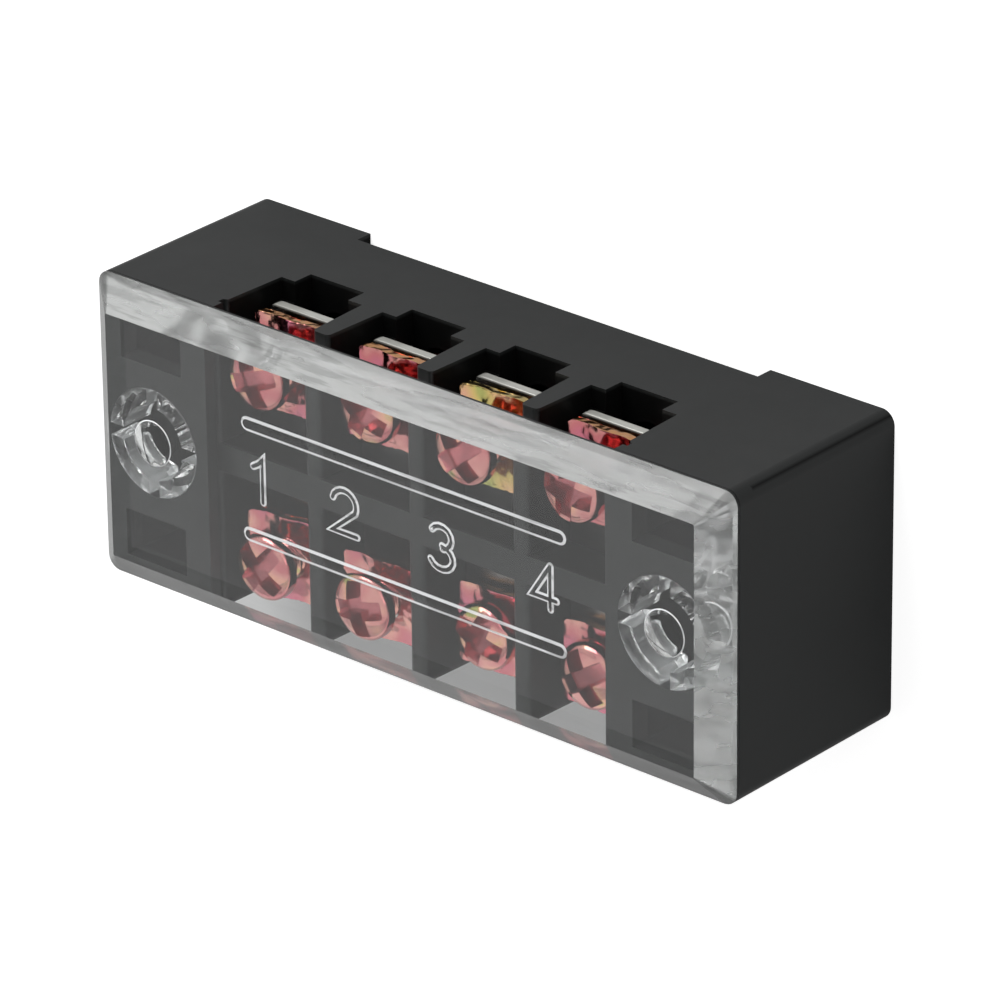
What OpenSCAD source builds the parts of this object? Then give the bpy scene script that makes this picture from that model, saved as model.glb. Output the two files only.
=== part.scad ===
// Barrier terminal strip, four poles, with a clear push-on cover.
// Frame: origin at the middle of the mounting face, +X along the row of poles,
// +Y towards terminal row a, +Z up through the cover. All lengths in millimetres.

/* [Housing] */
// Width of the strip across both screw rows
strip_w = 21.9; // [21.4:0.1:24]
// Length of each end block along the strip, at the floor of the channels
end_l = 10.35; // [10:0.05:14]
// Height of the housing up to the underside of the cover
housing_h = 15.4; // [15.4:0.1:18]
// Radius of the upright corners of the housing and of the cover
corner_r = 1.0; // [0.4:0.1:1.6]
// Height of the feet, which is the depth of the recess under the middle
foot_h = 1.3; // [0.5:0.1:2]
// Length of each foot along the strip
foot_l = 10.1; // [8:0.1:11]

/* [Poles] */
// Number of poles
pole_count = 4; // [2:1:8]
// Spacing of the poles
pole_pitch = 8.9; // [8.6:0.1:10]
// Distance of each screw row from the strip's long side
row_inset = 4.05; // [3.75:0.05:4.35]
// Width of a channel at its floor
channel_w = 7.1; // [6.9:0.1:7.3]
// Width of a channel at the top of its barriers
channel_top_w = 7.5; // [7.3:0.1:7.8]
// Height of the channel's floor at its mouth
channel_z = 9.05; // [8.8:0.05:9.2]
// Width of the clearance slot under the bar
slot_w = 4.7; // [4.5:0.1:5.2]
// Height of the floor of the clearance slot
slot_z = 7.5; // [7:0.1:7.6]
// How far the barriers stop below the cover
barrier_gap = 1.3; // [0.8:0.1:1.8]
// Rounding of the top edges of the barriers
barrier_r = 0.35; // [0.1:0.05:0.5]
// Width of the ridge between the two screw rows
ridge_w = 2.0; // [1.6:0.1:3]

/* [Terminal bars] */
// Width of a bar
bar_w = 6.5; // [5.8:0.1:6.7]
// How far the ends of a bar stay behind the strip's long sides
bar_inset = 1.15; // [0.8:0.05:1.5]
// Thickness of a bar
bar_t = 0.7; // [0.5:0.05:0.9]
// Radius of the corners of a bar
bar_corner_r = 0.7; // [0.3:0.1:1.2]
// Height of the ledges that carry a bar, above the channel's floor
ledge_h = 0.9; // [0.6:0.05:1]
// How far the ledges stop short of the ends of a bar
ledge_setback = 0.4; // [0:0.1:1]
// Depth of the tapped collar under a bar
collar_h = 1.2; // [0.8:0.1:1.5]
// Wall of the tapped collar
collar_wall = 0.55; // [0.4:0.05:0.65]

/* [Clamp washers] */
// Side of the square clamp washer
washer_w = 6.0; // [5.6:0.1:6.3]
// Thickness of the washer's sheet
washer_t = 0.8; // [0.6:0.05:1]
// Radius of the corners of the washer
washer_corner_r = 0.4; // [0.2:0.1:0.8]
// Height of the pressed waves, from middle to crest
wave_h = 0.1; // [0:0.01:0.15]
// Number of pressed waves across the washer
wave_count = 2; // [1:1:3]

/* [Terminal screws] */
// Diameter of the screw's thread
thread_d = 3.0; // [2.6:0.1:3.1]
// Length of the screw under its head
screw_l = 6.0; // [5.5:0.5:6]
// Diameter of the pan head
head_d = 4.7; // [4.4:0.1:5]
// Height of the pan head
head_h = 1.45; // [1.2:0.05:1.5]
// Height of the straight rim of the pan head
head_rim_h = 0.55; // [0.3:0.05:0.8]
// Width of the arms of the cross recess
cross_w = 0.95; // [0.7:0.05:1.1]
// Length of the cross recess at the top of the head, end to end
cross_l = 3.6; // [2.8:0.1:3.8]
// Length of the cross recess at its floor, end to end
cross_floor_l = 1.8; // [1.2:0.1:2.4]
// Depth of the cross recess
cross_depth = 0.95; // [0.6:0.05:1]
// Width of the screwdriver slot across the head
drive_slot_w = 0.75; // [0.5:0.05:0.9]
// Depth of the screwdriver slot
drive_slot_depth = 0.6; // [0.4:0.05:0.7]
// Chamfer at the tip of a screw
tip_chamfer = 0.4; // [0.2:0.1:0.6]

/* [Mounting] */
// Distance of a mounting hole from the end of the strip
mount_inset = 5.25; // [5:0.05:6]
// Diameter of a mounting hole
mount_hole_d = 4.2; // [3.2:0.1:4.5]
// Diameter of the recess for the mounting screw's head
recess_d = 7.8; // [7.4:0.1:8]
// Height of the floor of that recess
recess_z = 8.3; // [7:0.1:8.4]
// Length of a coring pocket in an end block
pocket_l = 5.4; // [4:0.1:6]
// Width of a coring pocket in an end block
pocket_w = 3.4; // [2.5:0.1:3.6]
// Depth of a coring pocket in an end block
pocket_depth = 5.0; // [2:0.5:8]
// Distance of a coring pocket's middle from the strip's long side
pocket_inset = 3.7; // [3.4:0.05:4.2]

/* [Cover] */
// Thickness of the cover
cover_t = 1.95; // [1.5:0.05:2.5]
// How far the cover's bevel reaches in from its outline
bevel_in = 2.1; // [1:0.1:2.4]
// Height of the upright rim below the bevel
cover_rim_h = 0.2; // [0.1:0.05:0.5]
// Length of the split pins under the cover
pin_l = 2.8; // [2:0.1:2.9]
// Wall of the split pins
pin_wall = 1.2; // [0.8:0.1:1.5]
// Width of the slots that split a pin
pin_slot_w = 0.9; // [0.6:0.1:1.2]
// Chamfer at the tip of a pin
pin_chamfer = 0.4; // [0.2:0.1:0.6]
// Diameter of the shallow disc moulded over each mounting hole
disc_d = 3.3; // [2.5:0.1:4]
// How far the two dividing lines run past the outer poles' middles
line_over = 0.6; // [0:0.1:2]
// Width of the dividing lines
line_w = 1.05; // [0.6:0.05:1.5]
// Distance of the dividing lines from the cover's long side
line_inset = 6.95; // [6:0.05:8]
// Depth of the marks moulded in the cover's underside
mark_depth = 0.2; // [0.1:0.05:0.4]

/* [Fits] */
// Radial clearance of a screw in its tapped collar and in its washer
thread_clearance = 0.05; // [0.02:0.01:0.1]
// Radial clearance of a split pin in its recess
pin_clearance = 0.05; // [0.02:0.01:0.1]
// Clearance between a bar and the ridge above it
bar_clearance = 0.05; // [0.02:0.01:0.1]
// Clearance under the tip of a tight screw
tip_clearance = 0.5; // [0.3:0.1:0.8]
// Radial clearance of the blind hole round a screw's tip
tip_hole_clearance = 0.4; // [0.2:0.1:0.7]

/* [Hidden] */
$fn = 48;
// How far each screw is backed out, as a share of its travel, pole 1 first
screw_open_a = [0.935, 0.565, 0.915, 0.825];
screw_open_b = [0.825, 0.935, 0.195, 0.175];
// How far each washer has lifted, as a share of how far its screw is backed out
washer_lift_a = [0.44, 0.46, 0.45, 0.42];
washer_lift_b = [0.40, 0.56, 0.22, 0.25];
// Tilt of each washer about X and Y, as a share of what brings its edge down to the bar
washer_lean_a = [[-0.33, 0.11], [-0.26, 0.09], [-0.33, 0.11], [-0.33, -0.13]];
washer_lean_b = [[0, 0.42], [0.17, 0.13], [0.5, 0], [0, 0.5]];
// Turn of each screw's drive recess, in degrees
drive_turn_a = [20, 65, 38, 80];
drive_turn_b = [50, 12, 70, 33];

cut = 0.5;
poles_l = (pole_count - 1) * pole_pitch;
strip_l = poles_l + channel_w + 2 * end_l;
mount_x = strip_l / 2 - mount_inset;
row_y = strip_w / 2 - row_inset;
barrier_z = housing_h - barrier_gap;
bar_l = strip_w - 2 * bar_inset;
bar_z = channel_z + ledge_h;
bar_top_z = bar_z + bar_t;
tight_head_z = bar_top_z + washer_t + 2 * wave_h;
screw_travel = housing_h - head_h - tight_head_z;
tip_hole_z = tight_head_z - screw_l - tip_clearance;
hole_r = thread_d / 2 + thread_clearance;
pin_r = recess_d / 2 - pin_clearance;

function pole_x(p) = (p - 1) * pole_pitch - poles_l / 2;
function side_sign(side) = side == "a" ? 1 : -1;
function pick(list, p) = list[(p - 1) % len(list)];
function screw_out(p, side) = screw_travel * pick(side == "a" ? screw_open_a : screw_open_b, p);
function washer_out(p, side) = screw_out(p, side) * pick(side == "a" ? washer_lift_a : washer_lift_b, p);
function washer_tilt(p, side) =
    [for (lean = pick(side == "a" ? washer_lean_a : washer_lean_b, p))
        asin(lean * washer_out(p, side) / (washer_w / 2))];
function arc(cx, cy, r, from, to, steps = 6) =
    [for (i = [0:steps]) let (a = from + (to - from) * i / steps) [cx + r * cos(a), cy + r * sin(a)]];

// Upright block with round corners, centred on the Z axis and standing at Z = 0
module rounded_block(l, w, h, r) {
    translate([-l / 2, -w / 2 + r, 0]) cube([l, w - 2 * r, h]);
    translate([-l / 2 + r, -w / 2, 0]) cube([l - 2 * r, w, h]);
    for (x = [-1, 1], y = [-1, 1])
        translate([x * (l / 2 - r), y * (w / 2 - r), 0]) cylinder(r = r, h = h);
}

// Extrudes an X-Z outline along Y, centred on the X-Z plane
module along_y(l) {
    rotate([90, 0, 0]) linear_extrude(height = l, center = true) children();
}

// ---------- Housing ----------

// Outline of one channel, with drafted walls and rounded barrier tops
function half_channel() =
    concat(
        [[channel_w / 2, channel_z], [channel_top_w / 2, barrier_z - barrier_r]],
        arc(channel_top_w / 2 + barrier_r, barrier_z - barrier_r, barrier_r, 180, 90),
        [[channel_top_w / 2 + barrier_r, barrier_z + cut]]
    );

module channel() {
    right = half_channel();
    left = [for (i = [len(right) - 1:-1:0]) [-right[i][0], right[i][1]]];
    along_y(strip_w + 2 * cut) polygon(concat(right, left));
}

// Space above the barriers, up to the cover
module barrier_top_space() {
    l = poles_l + channel_top_w;
    translate([-l / 2, -strip_w / 2 - cut, barrier_z]) cube([l, strip_w + 2 * cut, barrier_gap + cut]);
}

// Raised floor that carries one bar
module bar_ledge() {
    l = bar_l - 2 * ledge_setback;
    translate([-channel_w / 2 - cut, -l / 2, channel_z - cut])
        cube([channel_w + 2 * cut, l, ledge_h + cut]);
}

// Middle ridge across one channel, which holds the bar down
module ridge() {
    z = bar_top_z + bar_clearance;
    translate([-pole_pitch / 2, -ridge_w / 2, z]) cube([pole_pitch, ridge_w, barrier_z - z]);
}

// Slot under the bar and the blind holes that clear the screws' tips
module screw_space() {
    translate([-slot_w / 2, -strip_w / 2 - cut, slot_z])
        cube([slot_w, strip_w + 2 * cut, bar_z - slot_z + cut / 2]);
    for (s = [-1, 1])
        translate([0, s * row_y, tip_hole_z])
            cylinder(r = thread_d / 2 + tip_hole_clearance, h = slot_z - tip_hole_z + cut);
}

// Mounting hole, screw-head recess and coring pockets of one end block
module end_block_cuts() {
    translate([0, 0, -cut]) cylinder(d = mount_hole_d, h = housing_h);
    translate([0, 0, recess_z]) cylinder(d = recess_d, h = housing_h);
    for (s = [-1, 1])
        translate([-pocket_l / 2, s * (strip_w / 2 - pocket_inset) - pocket_w / 2, housing_h - pocket_depth])
            cube([pocket_l, pocket_w, pocket_depth + cut]);
}

module foot_recess() {
    l = strip_l - 2 * foot_l;
    translate([-l / 2, -strip_w / 2 - cut, -cut]) cube([l, strip_w + 2 * cut, foot_h + cut]);
}

module base() {
    color([0.06, 0.06, 0.065])
    difference() {
        union() {
            difference() {
                rounded_block(strip_l, strip_w, housing_h, corner_r);
                for (p = [1:pole_count]) translate([pole_x(p), 0, 0]) channel();
                barrier_top_space();
            }
            for (p = [1:pole_count]) translate([pole_x(p), 0, 0]) {
                bar_ledge();
                ridge();
            }
        }
        for (p = [1:pole_count]) translate([pole_x(p), 0, 0]) screw_space();
        for (s = [-1, 1]) translate([s * mount_x, 0, 0]) end_block_cuts();
        foot_recess();
    }
}

// ---------- Cover ----------

// Bevelled section of the cover for a side of the given length
module bevel_section(l) {
    h = l / 2;
    polygon([
        [-h, 0], [h, 0], [h, cover_rim_h], [h - bevel_in, cover_t],
        [bevel_in - h, cover_t], [-h, cover_rim_h]
    ]);
}

module cover_plate() {
    intersection() {
        rounded_block(strip_l, strip_w, cover_t, corner_r);
        along_y(strip_w + 2 * cut) bevel_section(strip_l);
        rotate([0, 0, 90]) along_y(strip_l + 2 * cut) bevel_section(strip_w);
    }
}

// Ring pin split into four fingers, hanging below Z = 0
module split_pin() {
    inner = pin_r - pin_wall;
    difference() {
        rotate_extrude()
            polygon([
                [inner, cut], [inner, -pin_l + pin_chamfer / 2], [inner + pin_chamfer / 2, -pin_l],
                [pin_r - pin_chamfer, -pin_l], [pin_r, -pin_l + pin_chamfer], [pin_r, cut]
            ]);
        for (turn = [0, 90])
            rotate([0, 0, turn])
                translate([-recess_d, -pin_slot_w / 2, -pin_l - cut])
                    cube([2 * recess_d, pin_slot_w, pin_l + cut]);
    }
}

// Long mark with round ends, cut into the underside of the cover
module dividing_line() {
    l = poles_l + 2 * line_over;
    translate([-l / 2 + line_w / 2, -line_w / 2, -cut]) cube([l - line_w, line_w, mark_depth + cut]);
    for (s = [-1, 1])
        translate([s * (l - line_w) / 2, 0, -cut]) cylinder(d = line_w, h = mark_depth + cut);
}

module cover() {
    color([0.85, 0.87, 0.88, 0.35])
    translate([0, 0, housing_h])
    difference() {
        union() {
            cover_plate();
            for (s = [-1, 1]) translate([s * mount_x, 0, 0]) split_pin();
        }
        for (s = [-1, 1]) {
            translate([0, s * (strip_w / 2 - line_inset), 0]) dividing_line();
            translate([s * mount_x, 0, -cut]) cylinder(d = disc_d, h = mark_depth / 2 + cut);
        }
    }
}

// ---------- Terminal bars ----------

module terminal_bar(p) {
    color([0.72, 0.72, 0.70])
    translate([pole_x(p), 0, bar_z])
    difference() {
        union() {
            rounded_block(bar_w, bar_l, bar_t, bar_corner_r);
            for (s = [-1, 1])
                translate([0, s * row_y, -collar_h])
                    cylinder(r = hole_r + collar_wall, h = collar_h + bar_t / 2);
        }
        for (s = [-1, 1])
            translate([0, s * row_y, -collar_h - cut])
                cylinder(r = hole_r, h = collar_h + bar_t + 2 * cut);
    }
}

// ---------- Clamp washers ----------

// Wavy section of a washer's sheet, standing on the troughs of the waves
module wavy_section(steps = 32) {
    half = washer_w / 2 + cut;
    wave = [for (i = [0:steps]) let (x = -half + 2 * half * i / steps)
        [x, wave_h * (1 + cos(360 * wave_count * x / washer_w))]];
    upper = [for (i = [steps:-1:0]) [wave[i][0], wave[i][1] + washer_t]];
    polygon(concat(wave, upper));
}

module clamp_washer(p, side) {
    tilt = washer_tilt(p, side);
    color(side == "a" ? [0.80, 0.55, 0.38] : [0.85, 0.50, 0.52])
    translate([pole_x(p), side_sign(side) * row_y, bar_top_z + washer_out(p, side)])
    difference() {
        rotate([tilt[0], tilt[1], 0])
            intersection() {
                along_y(washer_w + 2 * cut) wavy_section();
                translate([0, 0, -cut]) rounded_block(washer_w, washer_w, washer_t + 2 * cut, washer_corner_r);
            }
        translate([0, 0, -cut]) cylinder(r = hole_r, h = washer_t + 3 * cut);
    }
}

// ---------- Terminal screws ----------

// Half section of a screw: chamfered shank, then a pan head with a domed top
function screw_section() =
    let (r = thread_d / 2, dome_h = head_h - head_rim_h, steps = 8)
    concat(
        [[0, -screw_l], [r - tip_chamfer, -screw_l], [r, -screw_l + tip_chamfer], [r, 0], [head_d / 2, 0]],
        [for (i = [0:steps]) let (a = 90 * i / steps) [head_d / 2 * cos(a), head_rim_h + dome_h * sin(a)]]
    );

// Cross recess with tapering arms, and a plain slot across the whole head
module drive_recess() {
    translate([0, 0, head_h - cross_depth])
        intersection() {
            union() {
                cylinder(d1 = cross_floor_l, d2 = cross_l, h = cross_depth);
                translate([0, 0, cross_depth]) cylinder(d = cross_l, h = cut);
            }
            for (turn = [0, 90])
                rotate([0, 0, turn])
                    translate([-head_d / 2, -cross_w / 2, 0]) cube([head_d, cross_w, cross_depth + cut]);
        }
    translate([-head_d / 2 - cut, -drive_slot_w / 2, head_h - drive_slot_depth])
        cube([head_d + 2 * cut, drive_slot_w, drive_slot_depth + cut]);
}

module terminal_screw(p, side) {
    turn = pick(side == "a" ? drive_turn_a : drive_turn_b, p);
    color(side == "a" ? [0.78, 0.52, 0.50] : [0.84, 0.56, 0.55])
    translate([pole_x(p), side_sign(side) * row_y, tight_head_z + screw_out(p, side)])
    rotate([0, 0, turn])
    difference() {
        rotate_extrude() polygon(screw_section());
        drive_recess();
    }
}

base();
cover();
for (p = [1:pole_count]) {
    terminal_bar(p);
    for (side = ["a", "b"]) {
        clamp_washer(p, side);
        terminal_screw(p, side);
    }
}
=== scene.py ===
"""Looks of a four-pole barrier terminal strip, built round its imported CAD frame, in metres."""
import math

import bmesh
import bpy
from mathutils import Matrix, Vector


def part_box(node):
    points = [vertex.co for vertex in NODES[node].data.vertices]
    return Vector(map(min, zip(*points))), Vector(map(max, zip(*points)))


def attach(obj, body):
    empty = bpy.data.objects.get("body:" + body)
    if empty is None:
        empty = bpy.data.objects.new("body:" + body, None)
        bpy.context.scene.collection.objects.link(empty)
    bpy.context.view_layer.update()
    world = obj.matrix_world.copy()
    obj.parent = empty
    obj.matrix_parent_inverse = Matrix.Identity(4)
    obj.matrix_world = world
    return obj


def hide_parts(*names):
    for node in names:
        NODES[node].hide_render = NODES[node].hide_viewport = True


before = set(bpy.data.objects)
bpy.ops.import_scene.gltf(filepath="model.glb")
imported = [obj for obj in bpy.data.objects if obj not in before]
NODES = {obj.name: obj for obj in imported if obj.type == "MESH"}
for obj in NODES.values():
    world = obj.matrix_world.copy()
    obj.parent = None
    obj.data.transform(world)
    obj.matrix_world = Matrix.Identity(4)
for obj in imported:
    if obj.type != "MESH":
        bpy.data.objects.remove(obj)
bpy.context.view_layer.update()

MM = 0.001
POLES = (1, 2, 3, 4)
SIDES = ("a", "b")


# ---------- camera, lamps, floor and world ----------

# The camera's place and turn were fitted to the photo's perspective
CAMERA_TARGET = Vector((1.02, -0.25, 7.97)) * MM
CAMERA_DISTANCE = 488.15 * MM
CAMERA_TURN = math.radians(41.231)
CAMERA_LIFT = math.radians(25.498)
CAMERA_ROLL = math.radians(-0.677)
CAMERA_LENS = 270
CAMERA_SENSOR = 36
WORLD_LIGHT = 0.33
FLOOR_HALF = 1.5


def camera_axes():
    """Right, up and back of the camera, which sees the strip standing on its long side."""
    back = Vector((
        math.sin(CAMERA_TURN) * math.cos(CAMERA_LIFT),
        math.sin(CAMERA_LIFT),
        math.cos(CAMERA_TURN) * math.cos(CAMERA_LIFT),
    ))
    level = Vector((math.cos(CAMERA_TURN), 0, -math.sin(CAMERA_TURN)))
    right = Matrix.Rotation(CAMERA_ROLL, 3, back) @ level
    return right, back.cross(right), back


def add_camera():
    """Long lens along the photo's viewing angle."""
    data = bpy.data.cameras.new("camera")
    data.lens = CAMERA_LENS
    data.sensor_width = CAMERA_SENSOR
    data.clip_start = 10 * MM
    camera = bpy.data.objects.new("camera", data)
    right, up, back = camera_axes()
    pose = Matrix((right, up, back)).transposed().to_4x4()
    pose.translation = CAMERA_TARGET + back * CAMERA_DISTANCE
    camera.matrix_world = pose
    bpy.context.scene.collection.objects.link(camera)
    bpy.context.scene.camera = camera


def add_lamp(name, towards, distance, size, power):
    """Square area lamp, seen from the strip along the direction towards."""
    data = bpy.data.lights.new(name, "AREA")
    data.shape = "SQUARE"
    data.size = size
    data.energy = power
    lamp = bpy.data.objects.new(name, data)
    direction = Vector(towards).normalized()
    lamp.location = CAMERA_TARGET + direction * distance
    lamp.rotation_mode = "QUATERNION"
    lamp.rotation_quaternion = (-direction).to_track_quat("-Z", "Y")
    bpy.context.scene.collection.objects.link(lamp)


def add_lamps():
    """Key lamp from the photo's upper left and a weaker fill beside the camera."""
    right, up, back = camera_axes()
    key = -0.7 * right + 0.9 * up + 0.6 * back
    fill = 0.5 * right + 0.2 * up + 1.0 * back
    add_lamp("key_lamp", key, distance=0.55, size=0.35, power=1.9)
    add_lamp("fill_lamp", fill, distance=0.7, size=0.5, power=1.1)


def add_world():
    """Dim white light, which shows as full white on camera, glossy and transmission rays."""
    world = bpy.data.worlds.new("studio")
    world.use_nodes = True
    nodes, links = world.node_tree.nodes, world.node_tree.links
    nodes.clear()
    out = nodes.new("ShaderNodeOutputWorld")
    mix = nodes.new("ShaderNodeMixShader")
    lighting = nodes.new("ShaderNodeBackground")
    lighting.inputs["Strength"].default_value = WORLD_LIGHT
    shown = nodes.new("ShaderNodeBackground")
    shown.inputs["Strength"].default_value = 1.0
    for background in (lighting, shown):
        background.inputs["Color"].default_value = (1, 1, 1, 1)
    links.new(seen_ray(nodes, links), mix.inputs[0])
    links.new(lighting.outputs[0], mix.inputs[1])
    links.new(shown.outputs[0], mix.inputs[2])
    links.new(mix.outputs[0], out.inputs["Surface"])
    bpy.context.scene.world = world


def add_floor():
    """Pale floor that shows the strip's shadow and glows enough to be white beside it."""
    corners = rectangle(2 * FLOOR_HALF, 2 * FLOOR_HALF)
    mesh = bpy.data.meshes.new("floor")
    mesh.from_pydata([(x, y, 0) for x, y in corners], [], [(0, 1, 2, 3)])
    floor = bpy.data.objects.new("floor", mesh)
    bpy.context.scene.collection.objects.link(floor)
    material, nodes, links, out = new_material("floor_white")
    diffuse = nodes.new("ShaderNodeBsdfDiffuse")
    diffuse.inputs["Color"].default_value = (0.85, 0.85, 0.85, 1)
    glow = nodes.new("ShaderNodeEmission")
    links.new(seen_ray(nodes, links, 0.74, 0.05), glow.inputs["Strength"])
    both = nodes.new("ShaderNodeAddShader")
    links.new(diffuse.outputs[0], both.inputs[0])
    links.new(glow.outputs[0], both.inputs[1])
    links.new(both.outputs[0], out.inputs["Surface"])
    mesh.materials.append(material)


# ---------- materials ----------

# How far the tops of the barriers lie below the housing's top
BARRIER_DROP = 1.3 * MM


def new_material(name):
    """Empty node material, with its nodes, links and output."""
    material = bpy.data.materials.new(name)
    material.use_nodes = True
    nodes, links = material.node_tree.nodes, material.node_tree.links
    nodes.clear()
    return material, nodes, links, nodes.new("ShaderNodeOutputMaterial")


def noise(nodes, links, scale, detail=3.0, stretch=(1, 1, 1)):
    """Noise in the frame of the piece; scale is in features per metre."""
    where = nodes.new("ShaderNodeTexCoord")
    mapping = nodes.new("ShaderNodeMapping")
    mapping.inputs["Scale"].default_value = stretch
    texture = nodes.new("ShaderNodeTexNoise")
    texture.inputs["Scale"].default_value = scale
    texture.inputs["Detail"].default_value = detail
    links.new(where.outputs["Object"], mapping.inputs["Vector"])
    links.new(mapping.outputs["Vector"], texture.inputs["Vector"])
    return texture.outputs["Fac"]


def ramp(nodes, links, factor, stops):
    """Colour ramp through (position, colour) stops."""
    node = nodes.new("ShaderNodeValToRGB")
    elements = node.color_ramp.elements
    while len(elements) < len(stops):
        elements.new(0.5)
    for element, (position, colour) in zip(elements, stops):
        element.position = position
        element.color = (*colour, 1)
    links.new(factor, node.inputs["Fac"])
    return node.outputs["Color"]


def spread(nodes, links, factor, low, high):
    """Maps the middle of a noise's range to low..high."""
    node = nodes.new("ShaderNodeMapRange")
    node.inputs["From Min"].default_value = 0.3
    node.inputs["From Max"].default_value = 0.7
    node.inputs["To Min"].default_value = low
    node.inputs["To Max"].default_value = high
    links.new(factor, node.inputs["Value"])
    return node.outputs["Result"]


def bump(nodes, links, height, strength, depth):
    """Normal of a surface that height raises by up to depth."""
    node = nodes.new("ShaderNodeBump")
    node.inputs["Strength"].default_value = strength
    node.inputs["Distance"].default_value = depth
    links.new(height, node.inputs["Height"])
    return node.outputs["Normal"]


def seen_ray(nodes, links, straight=1.0, reflected=1.0):
    """Straight on camera rays, reflected on glossy and transmission rays, and 0 on the rest."""
    path = nodes.new("ShaderNodeLightPath").outputs
    bent = math_node(nodes, links, "MAXIMUM", path["Is Glossy Ray"], path["Is Transmission Ray"])
    weak = math_node(nodes, links, "MULTIPLY", bent, reflected)
    return math_node(nodes, links, "MULTIPLY_ADD", path["Is Camera Ray"], straight, weak)


def band(nodes, links, value, low, high):
    """0 up to low and 1 from high on."""
    node = nodes.new("ShaderNodeMapRange")
    node.inputs["From Min"].default_value = low
    node.inputs["From Max"].default_value = high
    links.new(value, node.inputs["Value"])
    return node.outputs["Result"]


def math_node(nodes, links, operation, *values):
    """Result of a Math node; a value is a float or another node's output."""
    node = nodes.new("ShaderNodeMath")
    node.operation = operation
    for socket, value in zip(node.inputs, values):
        if isinstance(value, float):
            socket.default_value = value
        else:
            links.new(value, socket)
    return node.outputs[0]


def colour_mix(nodes, links, factor, low, high):
    """Colour between low and high, each a colour or another node's output."""
    node = nodes.new("ShaderNodeMix")
    node.data_type = "RGBA"
    links.new(factor, node.inputs["Factor"])
    for socket, colour in (("A", low), ("B", high)):
        if isinstance(colour, tuple):
            node.inputs[socket].default_value = (*colour, 1)
        else:
            links.new(colour, node.inputs[socket])
    return node.outputs["Result"]


def place(nodes, links, output="Object"):
    """X, Y and Z of the surface point, or of its normal, in the frame of the piece."""
    where = nodes.new("ShaderNodeTexCoord")
    split = nodes.new("ShaderNodeSeparateXYZ")
    links.new(where.outputs[output], split.inputs[0])
    return split.outputs


def darkened(colour, by):
    return tuple(by * channel for channel in colour)


def unshaded_outside(nodes, links, corner):
    """1 on the housing's outside and on its barriers' tops, and 0 on the walls inside its channels, which
    get painted shade.
    """
    x, y, z = place(nodes, links)
    along = math_node(nodes, links, "ABSOLUTE", x)
    across = math_node(nodes, links, "ABSOLUTE", y)
    barrier_top = corner.z - BARRIER_DROP
    ends = band(nodes, links, along, corner.x - 0.3 * MM, corner.x - 0.15 * MM)
    sides = band(nodes, links, across, corner.y - 0.3 * MM, corner.y - 0.15 * MM)
    tops = band(nodes, links, z, barrier_top - 0.3 * MM, barrier_top - 0.1 * MM)
    upright = math_node(nodes, links, "MAXIMUM", sides, ends)
    return math_node(nodes, links, "MAXIMUM", upright, tops)


def black_plastic():
    """Black moulded plastic, with painted shade on the walls inside the channels: a darker colour and dimmed
    reflections there.
    """
    material, nodes, links, out = new_material("black_plastic")
    shader = nodes.new("ShaderNodeBsdfPrincipled")
    shader.inputs["IOR"].default_value = 1.5
    shader.inputs["Specular IOR Level"].default_value = 0.31
    unshaded_part = unshaded_outside(nodes, links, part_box("base")[1])
    cloud = noise(nodes, links, 180, 4)
    grain = noise(nodes, links, 6000, 2)
    outside = ramp(nodes, links, cloud, [(0.3, (0.006, 0.007, 0.007)), (0.7, (0.010, 0.011, 0.011))])
    # Painted shade: the walls inside the channels get a darker colour and a dim specular tint
    colour = colour_mix(nodes, links, unshaded_part, (0.003, 0.003, 0.003), outside)
    gloss_with_channel_shade = colour_mix(nodes, links, unshaded_part, (0.06, 0.06, 0.06), (1.0, 1.0, 1.0))
    links.new(colour, shader.inputs["Base Color"])
    links.new(gloss_with_channel_shade, shader.inputs["Specular Tint"])
    links.new(spread(nodes, links, cloud, 0.38, 0.48), shader.inputs["Roughness"])
    links.new(bump(nodes, links, grain, 0.1, 0.003 * MM), shader.inputs["Normal"])
    links.new(shader.outputs[0], out.inputs["Surface"])
    return material


def frosting(nodes, links, tint, streak, painted_shade_by):
    """Colour tint with streaks darker by the factor streak; towards the last pole all of it is darkened
    further, as painted shade.
    """
    streaks = noise(nodes, links, 1500, 3, (0.14, 1.4, 1.4))
    dull = darkened(tint, streak)
    unshaded_streaks = ramp(nodes, links, streaks, [(0.36, dull), (0.46, tint)])
    # Painted shade: towards the last pole the streaked tint is darkened
    shaded_streaks = ramp(nodes, links, streaks, [(0.42, darkened(dull, painted_shade_by)), (0.50, darkened(tint, painted_shade_by))])
    along = band(nodes, links, place(nodes, links)[0], 2 * MM, 16 * MM)
    return colour_mix(nodes, links, along, unshaded_streaks, shaded_streaks)


def light_through(nodes, links, shader, out):
    """Shows shader, but lets the lamps' light pass through it."""
    path = nodes.new("ShaderNodeLightPath")
    through = nodes.new("ShaderNodeBsdfTransparent")
    through.inputs["Color"].default_value = (0.93, 0.94, 0.94, 1)
    mix = nodes.new("ShaderNodeMixShader")
    links.new(path.outputs["Is Shadow Ray"], mix.inputs[0])
    links.new(shader.outputs[0], mix.inputs[1])
    links.new(through.outputs[0], mix.inputs[2])
    links.new(mix.outputs[0], out.inputs["Surface"])


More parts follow.
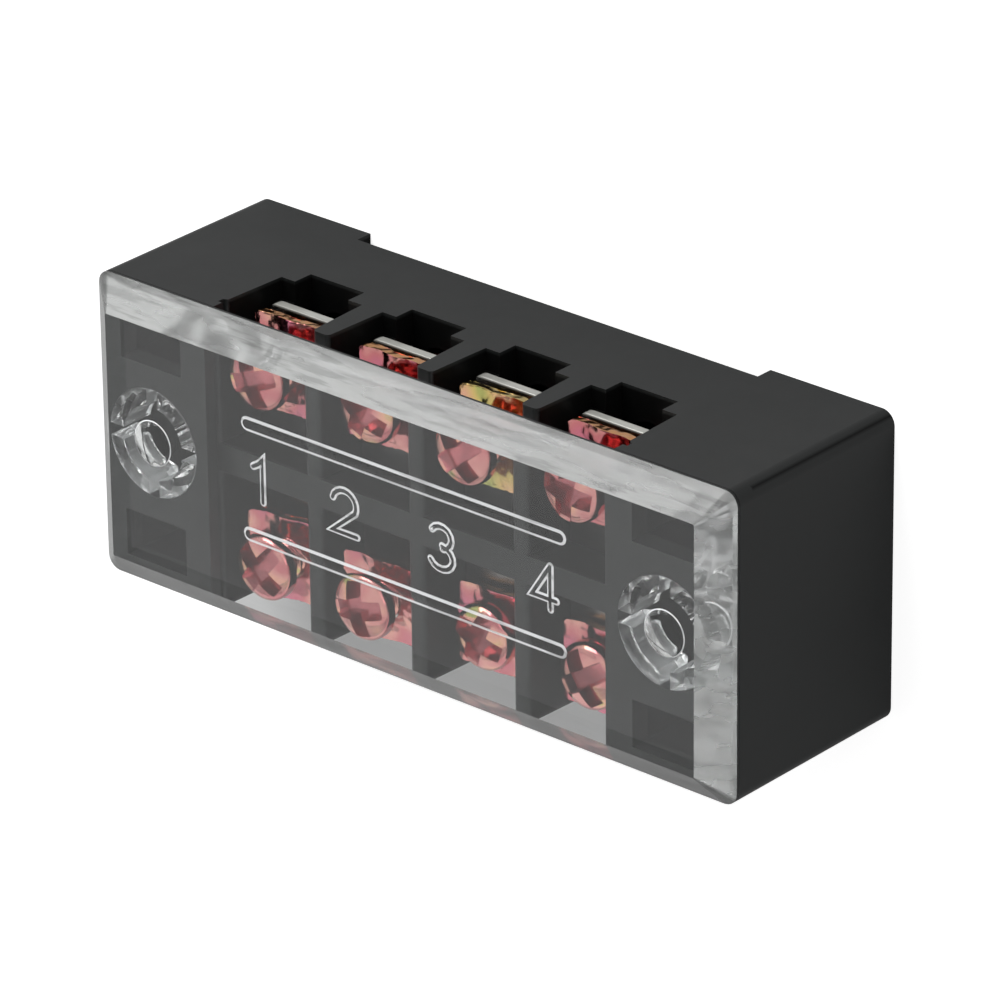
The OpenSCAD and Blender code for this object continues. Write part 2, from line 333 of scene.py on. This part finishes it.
def clear_plastic(name, tint=(0.96, 0.97, 0.97), clear=None, roughness=(0.015, 0.05), streak=0.65, painted_shade_by=1.0):
    """Polished clear plastic, or a frosted face of it where clear is given.

    The two values of roughness, and of clear, are those between which its clouds vary. Where a face
    isn't clear, it shows tint with duller streaks."""
    material, nodes, links, out = new_material(name)
    shader = nodes.new("ShaderNodeBsdfPrincipled")
    shader.inputs["IOR"].default_value = 1.585
    shader.inputs["Specular Tint"].default_value = (0.5, 0.5, 0.5, 1)
    haze = noise(nodes, links, 420, 3, (0.25, 1.6, 1))
    wave = noise(nodes, links, 260, 2)
    if clear is None:
        shader.inputs["Transmission Weight"].default_value = 1.0
        shader.inputs["Base Color"].default_value = (*tint, 1)
    else:
        links.new(spread(nodes, links, haze, *clear), shader.inputs["Transmission Weight"])
        links.new(frosting(nodes, links, tint, streak, painted_shade_by), shader.inputs["Base Color"])
    links.new(spread(nodes, links, haze, *roughness), shader.inputs["Roughness"])
    links.new(bump(nodes, links, wave, 0.12, 0.02 * MM), shader.inputs["Normal"])
    light_through(nodes, links, shader, out)
    return material


def zinc_plate(name, stops, side, patch=420):
    """Zinc plating: stops colour its patches, which have patch features per metre, and side its edges."""
    material, nodes, links, out = new_material(name)
    shader = nodes.new("ShaderNodeBsdfPrincipled")
    shader.inputs["Metallic"].default_value = 1.0
    patches = ramp(nodes, links, noise(nodes, links, patch, 1), stops)
    waves = noise(nodes, links, 1100, 2)
    level = band(nodes, links, place(nodes, links, "Normal")[2], 0.25, 0.75)
    links.new(colour_mix(nodes, links, level, side, patches), shader.inputs["Base Color"])
    links.new(spread(nodes, links, waves, 0.10, 0.2), shader.inputs["Roughness"])
    links.new(bump(nodes, links, waves, 0.5, 0.03 * MM), shader.inputs["Normal"])
    links.new(shader.outputs[0], out.inputs["Surface"])
    return material


def tin_plate():
    """Tin plating: bright at a bar's ends and matt on the cut end faces; between its screws it is painted
    dark grey, as painted shade.
    """
    material, nodes, links, out = new_material("tin_plate")
    shader = nodes.new("ShaderNodeBsdfPrincipled")
    bar_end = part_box("terminal_bar_1")[1].y
    rolled = noise(nodes, links, 3000, 3, (0.2, 1, 1))
    bright = ramp(nodes, links, rolled, [(0.3, (0.44, 0.44, 0.41)), (0.7, (0.54, 0.54, 0.50))])
    away = math_node(nodes, links, "ABSOLUTE", place(nodes, links)[1])
    unshaded_ends = band(nodes, links, away, bar_end - 4.3 * MM, bar_end - 1.3 * MM)
    cut_face = band(nodes, links, away, bar_end - 0.2 * MM, bar_end - 0.05 * MM)
    # Painted shade: dark grey between the bar's screws, bright tin only towards its ends
    links.new(colour_mix(nodes, links, unshaded_ends, (0.13, 0.125, 0.12), bright), shader.inputs["Base Color"])
    links.new(math_node(nodes, links, "MULTIPLY_ADD", cut_face, -0.7, 1.0), shader.inputs["Metallic"])
    links.new(spread(nodes, links, rolled, 0.16, 0.26), shader.inputs["Roughness"])
    links.new(bump(nodes, links, rolled, 0.2, 0.006 * MM), shader.inputs["Normal"])
    links.new(shader.outputs[0], out.inputs["Surface"])
    return material


# ---------- mesh helpers ----------

ROUND_STEPS = 96


def new_object(name, vertices, faces, smooth=False):
    """Object with a closed mesh, its equal points merged and its faces turned outwards."""
    mesh = bpy.data.meshes.new(name)
    mesh.from_pydata([tuple(v) for v in vertices], [], faces)
    mesh.validate()
    solid = bmesh.new()
    solid.from_mesh(mesh)
    bmesh.ops.remove_doubles(solid, verts=solid.verts, dist=1e-5)
    bmesh.ops.recalc_face_normals(solid, faces=solid.faces)
    for face in solid.faces:
        face.smooth = smooth
    solid.to_mesh(mesh)
    solid.free()
    made = bpy.data.objects.new(name, mesh)
    bpy.context.scene.collection.objects.link(made)
    return made


def rectangle(length, width):
    return [(-length / 2, -width / 2), (length / 2, -width / 2),
            (length / 2, width / 2), (-length / 2, width / 2)]


def circle(r, z):
    """Points of a level circle round the Z axis."""
    angles = [2 * math.pi * i / ROUND_STEPS for i in range(ROUND_STEPS)]
    return [(r * math.cos(a), r * math.sin(a), z) for a in angles]


def ring_faces(rings, count):
    """Quads between rings of count points each."""
    faces = []
    for r in range(rings - 1):
        for i in range(count):
            j = (i + 1) % count
            faces.append((r * count + i, r * count + j, (r + 1) * count + j, (r + 1) * count + i))
    return faces


def prism(name, outlines):
    """Closed solid through stacked outlines of equal point counts: [(points_xy, z), ...]."""
    count = len(outlines[0][0])
    vertices = [(x, y, z) for points, z in outlines for x, y in points]
    faces = ring_faces(len(outlines), count)
    faces.append(tuple(reversed(range(count))))
    faces.append(tuple(range((len(outlines) - 1) * count, len(outlines) * count)))
    return new_object(name, vertices, faces)


def revolve(name, profile):
    """Closed solid of revolution about Z; the profile starts and ends on the axis."""
    inner = profile[1:-1]
    vertices = [point for r, z in inner for point in circle(r, z)]
    faces = ring_faces(len(inner), ROUND_STEPS)
    low, high = len(vertices), len(vertices) + 1
    vertices += [(0, 0, profile[0][1]), (0, 0, profile[-1][1])]
    last = (len(inner) - 1) * ROUND_STEPS
    for i in range(ROUND_STEPS):
        j = (i + 1) % ROUND_STEPS
        faces.append((low, j, i))
        faces.append((high, last + i, last + j))
    return new_object(name, vertices, faces)


def revolve_ring(name, section):
    """Closed ring about Z with the given section."""
    vertices = [point for r, z in section for point in circle(r, z)]
    faces = ring_faces(len(section), ROUND_STEPS)
    last = (len(section) - 1) * ROUND_STEPS
    for i in range(ROUND_STEPS):
        j = (i + 1) % ROUND_STEPS
        faces.append((last + i, last + j, j, i))
    return new_object(name, vertices, faces)


def turn_about_z(piece, degrees):
    piece.data.transform(Matrix.Rotation(math.radians(degrees), 4, "Z"))


def shift(piece, x, y, z):
    piece.data.transform(Matrix.Translation((x, y, z)))


def settle(piece, x=0, y=0, z=0, turn=0):
    """Turns, places and scales to metres a piece that was modelled in millimetres."""
    piece.data.transform(Matrix.Scale(MM, 4) @ Matrix.Translation((x, y, z))
                         @ Matrix.Rotation(math.radians(turn), 4, "Z"))


def take_modifiers(piece):
    """Replaces the piece's mesh by what its modifiers make of it."""
    shape = bpy.data.meshes.new_from_object(
        piece.evaluated_get(bpy.context.evaluated_depsgraph_get()))
    piece.modifiers.clear()
    piece.data = shape


def combine(piece, others, operation):
    """Boolean of the piece with the others, which are then removed."""
    for other in others:
        step = piece.modifiers.new("combine", "BOOLEAN")
        step.operation = operation
        step.solver = "EXACT"
        step.object = other
        take_modifiers(piece)
        bpy.data.objects.remove(other)


def join(piece, other):
    """Adds the other's mesh to the piece's and removes the other."""
    solid = bmesh.new()
    solid.from_mesh(piece.data)
    solid.from_mesh(other.data)
    solid.to_mesh(piece.data)
    solid.free()
    bpy.data.objects.remove(other)


def merge_split_faces(piece):
    """Joins what the CAD mesh has split, so that only true edges are left to round."""
    merged = piece.modifiers.new("weld", "WELD")
    merged.merge_threshold = 1e-6
    flat = piece.modifiers.new("flat", "DECIMATE")
    flat.decimate_type = "DISSOLVE"
    flat.angle_limit = math.radians(0.6)


def shade_smooth(piece):
    for face in piece.data.polygons:
        face.use_smooth = True
    weighted = piece.modifiers.new("shade", "WEIGHTED_NORMAL")
    weighted.keep_sharp = False


def soften(piece, width, segments=2, angle=30):
    """Rounds the edges at which faces meet at more than angle, in degrees."""
    edge = piece.modifiers.new("edges", "BEVEL")
    edge.width = width
    edge.segments = segments
    edge.limit_method = "ANGLE"
    edge.angle_limit = math.radians(angle)
    shade_smooth(piece)


# ---------- clear cover, in millimetres ----------

COVER_T = 1.95
COVER_BEVEL = 2.1
COVER_RIM = 0.2
# The underside clears the black faces under it, so that the two never lie in each other
COVER_GAP = 0.05
CORNER_R = 1.0
FACE_CORNER_R = 0.15
PIN_LENGTH = 2.8
PIN_R = 3.85
PIN_WALL = 1.2
PIN_SLOT = 0.9
SLOT_CUTTER_L = 12
PIN_CHAMFER = 0.4
# How far a pin stands into the plate that it is joined to
PIN_OVERLAP = 0.4
MOUNT_X = 22.0
MARK_DEPTH = 0.12
LINE_Y = 4.0
LINE_REACH = 13.95
LINE_WIDTH = 1.05
LINE_SLOPE = 0.2
DISC_R = 1.65
DISC_DEPTH = 0.1
DISC_CHAMFER = 0.07
DIGIT_X = {1: -12.1, 2: -4.95, 3: 3.4, 4: 12.1}
DIGIT_Y = 0.12
DIGIT_STROKE = 0.56
DIGIT_SLOPE = 0.15
# How far out a bend of a stroke may reach, as the least cosine of half its turn
LEAST_BEND = 0.4
# The cover's material slots
ON_FACE, ON_SIDE, ON_END, ON_MARK, ON_PIN, ON_RIM_PAINTED_SHADOW = range(6)


def arc_points(cx, cy, rx, ry, start, end, steps):
    """Points on an ellipse's arc, angles in degrees."""
    points = []
    for i in range(steps + 1):
        a = math.radians(start + (end - start) * i / steps)
        points.append((cx + rx * math.cos(a), cy + ry * math.sin(a)))
    return points


def rounded_rectangle(half_l, half_w, r):
    points = []
    for sx, sy, start in ((1, 1, 0), (-1, 1, 90), (-1, -1, 180), (1, -1, 270)):
        points += arc_points(sx * (half_l - r), sy * (half_w - r), r, r, start, start + 90, 5)
    return points


def stroke_side(points, half):
    """The points moved to their left by half a stroke's width, with mitred bends."""
    moved = []
    for i, (x, y) in enumerate(points):
        before = points[max(i - 1, 0)]
        after = points[min(i + 1, len(points) - 1)]
        came = Vector((x - before[0], y - before[1]))
        goes = Vector((after[0] - x, after[1] - y))
        came = came.normalized() if came.length else goes.normalized()
        goes = goes.normalized() if goes.length else came
        left_before, left_after = Vector((-came.y, came.x)), Vector((-goes.y, goes.x))
        left = (left_before + left_after).normalized()
        moved.append(Vector((x, y)) + left * half / max(left.dot(left_before), LEAST_BEND))
    return moved


def stroke_cap(centre, towards, half):
    """Half circle round the end of a stroke, without its first and last points."""
    a = math.degrees(math.atan2(towards.y, towards.x))
    return [Vector(p) for p in arc_points(*centre, half, half, a + 90, a - 90, 6)][1:-1]


def stroke_outline(line, half):
    """Outline of a line of points drawn with a round pen."""
    last_way = Vector(line[-1]) - Vector(line[-2])
    first_way = Vector(line[0]) - Vector(line[1])
    there = stroke_side(line, half) + stroke_cap(line[-1], last_way, half)
    back = stroke_side(line[::-1], half) + stroke_cap(line[0], first_way, half)
    return there + back


def mark(name, line, half, z, slope):
    """Cutter for one moulded stroke, with walls that slope in by slope, cut up from height z."""
    wide, narrow = stroke_outline(line, half), stroke_outline(line, half - slope)
    return prism(name, [(wide, z - MARK_DEPTH), (wide, z), (narrow, z + MARK_DEPTH)])


def digit_lines():
    """Centre lines of the digits 1 to 4 round their own middles."""
    return {
        1: [[(-0.85, 0.95), (-0.35, 1.25), (-0.02, 1.6), (-0.02, -1.45)]],
        2: [arc_points(0, 0.62, 1.03, 0.98, 165, -25, 10) + [(-1.05, -1.45), (1.08, -1.45)]],
        3: [arc_points(-0.02, 0.80, 0.88, 0.80, 150, -80, 9),
            arc_points(-0.02, -0.62, 1.0, 0.84, 85, -155, 10)],
        4: [[(0.5, 1.6), (-1.02, -0.72), (1.0, -0.72)], [(0.5, 1.6), (0.5, -1.45)]],
    }


def disc_mark(x, z):
    """Cutter for the shallow disc over a mounting hole, cut up from height z."""
    disc = revolve("disc", [
        (0, z - MARK_DEPTH),
        (DISC_R, z - MARK_DEPTH),
        (DISC_R, z + DISC_DEPTH - DISC_CHAMFER),
        (DISC_R - DISC_CHAMFER, z + DISC_DEPTH),
        (0, z + DISC_DEPTH),
    ])
    shift(disc, x, 0, 0)
    return disc


def moulded_marks(z):
    """Cutters for the digits, the two long lines and the two discs in the underside at height z."""
    cutters = []
    for digit, lines in digit_lines().items():
        for line in lines:
            placed = [(x + DIGIT_X[digit], y + DIGIT_Y) for x, y in line]
            cutters.append(mark("digit", placed, DIGIT_STROKE / 2, z, DIGIT_SLOPE))
    reach = LINE_REACH - LINE_WIDTH / 2
    for s in (-1, 1):
        line = [(-reach, s * LINE_Y), (0, s * LINE_Y), (reach, s * LINE_Y)]
        cutters.append(mark("line", line, LINE_WIDTH / 2, z, LINE_SLOPE))
    for s in (-1, 1):
        cutters.append(disc_mark(s * MOUNT_X, z))
    return cutters


def split_pin(x, z):
    """Ring pin split by two crossed slots, hanging from the plate's underside at height z."""
    inner, tip = PIN_R - PIN_WALL, z - PIN_LENGTH
    pin = revolve_ring("pin", [
        (inner, z + PIN_OVERLAP),
        (inner, tip + PIN_CHAMFER / 2),
        (inner + PIN_CHAMFER / 2, tip),
        (PIN_R - PIN_CHAMFER, tip),
        (PIN_R, tip + PIN_CHAMFER),
        (PIN_R, z + PIN_OVERLAP),
    ])
    slots = []
    for turn in (0, 90):
        across = rectangle(SLOT_CUTTER_L, PIN_SLOT)
        slot = prism("slot", [(across, tip - 1), (across, z)])
        turn_about_z(slot, turn)
        slots.append(slot)
    combine(pin, slots, "DIFFERENCE")
    shift(pin, x, 0, 0)
    return pin


def on_rim(point, half):
    """Whether a point lies on the upright outline of the plate, round corners included."""
    inward = Vector((half.x - abs(point.x), half.y - abs(point.y)))
    return min(inward) < 0.3 or inward.length < 0.5


def slot_faces(plate, half, under):
    """Gives the plate's bevels, the walls of its marks, its pins and its rim their own slots."""
    for face in plate.data.polygons:
        height, normal = face.center.z - under, face.normal
        steep, outside = abs(normal.z) < 0.95, on_rim(face.center, half)
        face.material_index = ON_FACE
        if height < -0.01:
            face.material_index = ON_PIN
        # The rim's faces get black, as a painted shadow of the gap under the cover
        elif steep and outside and height < COVER_RIM:
            face.material_index = ON_RIM_PAINTED_SHADOW
        elif steep and height > COVER_RIM + 0.2:
            face.material_index = ON_SIDE if abs(normal.y) > abs(normal.x) else ON_END
        elif steep and 0.01 < height < MARK_DEPTH and not outside:
            face.material_index = ON_MARK


def cover_materials(black):
    """Materials in the order of the cover's slots; its upright rim gets the housing's black, as a painted
    shadow of the gap between cover and housing.
    """
    return (
        clear_plastic("clear_plastic"),
        # The long bevels get painted shade, darker towards the last pole
        clear_plastic("clear_side", (0.60, 0.61, 0.60), (0.50, 0.85), (0.08, 0.26), painted_shade_by=0.78),
        clear_plastic("clear_end", (0.76, 0.78, 0.77), (0.68, 0.75), (0.05, 0.09), streak=0.96),
        clear_plastic("clear_mark", (0.97, 0.97, 0.98), (0.10, 0.30), (0.15, 0.3)),
        clear_plastic("clear_pin", (0.95, 0.96, 0.96), (0.80, 0.96), (0.03, 0.09), streak=1.0),
        # Painted shadow: the clear rim is drawn in the housing's black
        black,
    )


def add_cover(black):
    """Bevelled plate with its pins, its edges rounded before the crisp marks are cut in."""
    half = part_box("cover")[1] / MM
    under = half.z - COVER_T + COVER_GAP
    outline = rounded_rectangle(half.x, half.y, CORNER_R)
    face = rounded_rectangle(half.x - COVER_BEVEL, half.y - COVER_BEVEL, FACE_CORNER_R)
    plate = prism("clear_cover", [(outline, under), (outline, under + COVER_RIM), (face, half.z)])
    combine(plate, [split_pin(s * MOUNT_X, under) for s in (-1, 1)], "UNION")
    soften(plate, 0.16, 3, 28)
    take_modifiers(plate)
    combine(plate, moulded_marks(under), "DIFFERENCE")
    plate.data.materials.clear()
    for material in cover_materials(black):
        plate.data.materials.append(material)
    slot_faces(plate, half, under)
    settle(plate)
    shade_smooth(plate)
    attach(plate, "cover")
    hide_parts("cover")


# ---------- terminal screws, in millimetres ----------

HEAD_R = 2.35
HEAD_H = 1.45
HEAD_RIM = 0.55
HEAD_FILLET = 0.12
SCREW_L = 6.0
TIP_CHAMFER = 0.4
THREAD_R = 1.5
THREAD_PITCH = 0.5
THREAD_DEPTH = 0.27
CROSS_W = 1.35
CROSS_L = 4.0
CROSS_DEPTH = 1.0
DRIVE_SLOT_W = 0.95
DRIVE_SLOT_DEPTH = 0.5
# How far the cutters of the recess stand out of the head
CUTTER_RISE = 0.3
# Turn of each screw's recess in degrees, as in the solids
DRIVE_TURN = {"1a": 20, "2a": 65, "3a": 38, "4a": 80, "1b": 50, "2b": 12, "3b": 70, "4b": 33}


def head_profile():
    """Half section of a pan head: a fillet, an upright rim and a dome fuller than an ellipse."""
    side = [(0, 0), (HEAD_R - HEAD_FILLET, 0), (HEAD_R, HEAD_FILLET), (HEAD_R, HEAD_RIM)]
    angles = [math.radians(d) for d in range(8, 88, 8)]
    dome = [(HEAD_R * math.cos(a), HEAD_RIM + (HEAD_H - HEAD_RIM) * math.sin(a) ** 0.9) for a in angles]
    return side + dome + [(0, HEAD_H)]


def recess_cutters():
    """Two crossed arms with tapering walls, and a plain slot across the whole head."""
    top = HEAD_H + CUTTER_RISE
    grow = CUTTER_RISE / CROSS_DEPTH
    floor = rectangle(CROSS_L * 0.8, CROSS_W * 0.75)
    mouth = rectangle(CROSS_L * (1 + grow / 2), CROSS_W * (1 + grow / 3))
    cutters = []
    for turn in (0, 90):
        arm = prism("arm", [(floor, HEAD_H - CROSS_DEPTH), (mouth, top)])
        turn_about_z(arm, turn)
        cutters.append(arm)
    across = rectangle(3 * HEAD_R, DRIVE_SLOT_W)
    cutters.append(prism("slot", [(across, HEAD_H - DRIVE_SLOT_DEPTH), (across, top)]))
    return cutters


def slot_recess(head):
    """Gives the floor and the walls of the recess the head's second material slot, which holds painted
    shade.
    """
    for face in head.data.polygons:
        r = math.hypot(face.center.x, face.center.y)
        dome = HEAD_RIM + (HEAD_H - HEAD_RIM) * math.sqrt(max(0, 1 - (r / HEAD_R) ** 2))
        deep = HEAD_H - CROSS_DEPTH - 0.01 < face.center.z < dome - 0.12
        inside = r < HEAD_R - 0.1
        face.material_index = int(deep and inside)


def screw_head(materials):
    head = revolve("head", head_profile())
    combine(head, recess_cutters(), "DIFFERENCE")
    for material in materials:
        head.data.materials.append(material)
    slot_recess(head)
    soften(head, 0.12, 3, 32)
    take_modifiers(head)
    return head


def thread_radius(z, share):
    """Radius at height z and at a share of the way round, between the thread's flat crest and root."""
    phase = (z / THREAD_PITCH - share) % 1
    ridge = 1 - abs(2 * phase - 1)
    envelope = min(THREAD_R, THREAD_R - TIP_CHAMFER + (z + SCREW_L))
    return min(THREAD_R - THREAD_DEPTH * (1 - min(1, 1.25 * ridge)), envelope)


def threaded_shank(around=36, per_turn=8):
    """Shank whose radius follows a helical thread, with a chamfered tip, its top a little in the head."""
    rows = int(SCREW_L / THREAD_PITCH * per_turn)
    vertices = []
    for row in range(rows + 1):
        z = -SCREW_L + SCREW_L * row / rows
        for i in range(around):
            a = 2 * math.pi * i / around
            r = thread_radius(z, i / around)
            vertices.append((r * math.cos(a), r * math.sin(a), z))
    faces = ring_faces(rows + 1, around)
    faces.append(tuple(reversed(range(around))))
    faces.append(tuple(range(rows * around, (rows + 1) * around)))
    shank = new_object("shank", vertices, faces, smooth=True)
    shift(shank, 0, 0, 0.02)
    return shank


def add_screws(materials):
    """One screw, copied to where each screw of the solids stands."""
    pattern = screw_head(materials)
    join(pattern, threaded_shank())
    for pole in POLES:
        for side in SIDES:
            key = f"{pole}{side}"
            node = f"terminal_screw_{key}"
            low, high = (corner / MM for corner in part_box(node))
            piece = bpy.data.objects.new(f"screw_{key}", pattern.data.copy())
            bpy.context.scene.collection.objects.link(piece)
            middle = (low + high) / 2
            settle(piece, middle.x, middle.y, high.z - HEAD_H, DRIVE_TURN[key])
            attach(piece, f"screw_{key}")
            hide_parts(node)
    bpy.data.objects.remove(pattern)


# ---------- housing, bars and washers, whose solids are kept ----------

# Colours that the passivated zinc plating runs through; the wine serves as painted shade in the screws'
# recesses, and the copper as a painted highlight on the washers' edges
PINK = (0.62, 0.29, 0.26)
ROSE = (0.52, 0.17, 0.18)
MAUVE = (0.52, 0.16, 0.22)
RECESS_SHADE_WINE = (0.30, 0.09, 0.10)
PEACH = (0.70, 0.38, 0.26)
OLIVE = (0.42, 0.42, 0.14)
GOLD = (0.62, 0.46, 0.17)
COPPER_EDGE_HIGHLIGHT = (0.72, 0.36, 0.16)

GOLD_WASHER = "3a"


def dress(node, material):
    NODES[node].data.materials.clear()
    NODES[node].data.materials.append(material)


def press_texture():
    """Cloudy texture for the unevenness that the press leaves on a washer."""
    press = bpy.data.textures.new("press", "CLOUDS")
    press.noise_scale = 1.1 * MM
    press.noise_depth = 1
    return press


def crinkle(washer, texture):
    """Eats the pressed washer's edges and faces a little; nothing moves outwards."""
    grid = washer.modifiers.new("grid", "REMESH")
    grid.mode = "VOXEL"
    grid.voxel_size = 0.1 * MM
    torn = washer.modifiers.new("torn", "DISPLACE")
    torn.texture = texture
    torn.texture_coords = "LOCAL"
    torn.mid_level = 1.0
    torn.strength = 0.15 * MM


def dress_housing(black):
    dress("base", black)
    merge_split_faces(NODES["base"])
    soften(NODES["base"], 0.12 * MM)


def dress_bars():
    tin = tin_plate()
    for pole in POLES:
        bar = f"terminal_bar_{pole}"
        dress(bar, tin)
        merge_split_faces(NODES[bar])
        soften(NODES[bar], 0.08 * MM)


def dress_washers():
    """One washer came out golden in the photo, and the others mauve."""
    # Painted highlight: the mauve washers' upright edges are copper
    mauve = zinc_plate("zinc_mauve", [(0.35, MAUVE), (0.5, ROSE), (0.62, PINK), (0.72, PEACH)], COPPER_EDGE_HIGHLIGHT)
    gold = zinc_plate("zinc_gold", [(0.35, OLIVE), (0.5, GOLD), (0.7, PEACH)], GOLD)
    press = press_texture()
    for pole in POLES:
        for side in SIDES:
            key = f"{pole}{side}"
            dress(f"clamp_washer_{key}", gold if key == GOLD_WASHER else mauve)
            crinkle(NODES[f"clamp_washer_{key}"], press)


# ---------- everything ----------

def screw_materials():
    """Plating of the screws' outside, and a darker copy of it in the recess of their heads, as painted
    shade.
    """
    outside = [(0.35, ROSE), (0.5, PINK), (0.64, PEACH), (0.72, OLIVE)]
    pink = zinc_plate("zinc_pink", outside, ROSE, patch=520)
    # Painted shade: the recess gets darker wine and rose colours
    recess = zinc_plate("zinc_recess_painted_shade", [(0.35, RECESS_SHADE_WINE), (0.7, ROSE)], RECESS_SHADE_WINE)
    return pink, recess


def set_bounces():
    """Enough bounces for light that crosses the cover and its pins several times."""
    cycles = bpy.context.scene.cycles
    cycles.max_bounces = 32
    cycles.transmission_bounces = 32
    cycles.glossy_bounces = 16


def build():
    add_camera()
    add_lamps()
    add_world()
    add_floor()
    black = black_plastic()
    dress_housing(black)
    dress_bars()
    dress_washers()
    add_cover(black)
    add_screws(screw_materials())
    set_bounces()
    bpy.context.scene.view_settings.view_transform = "Standard"


build()
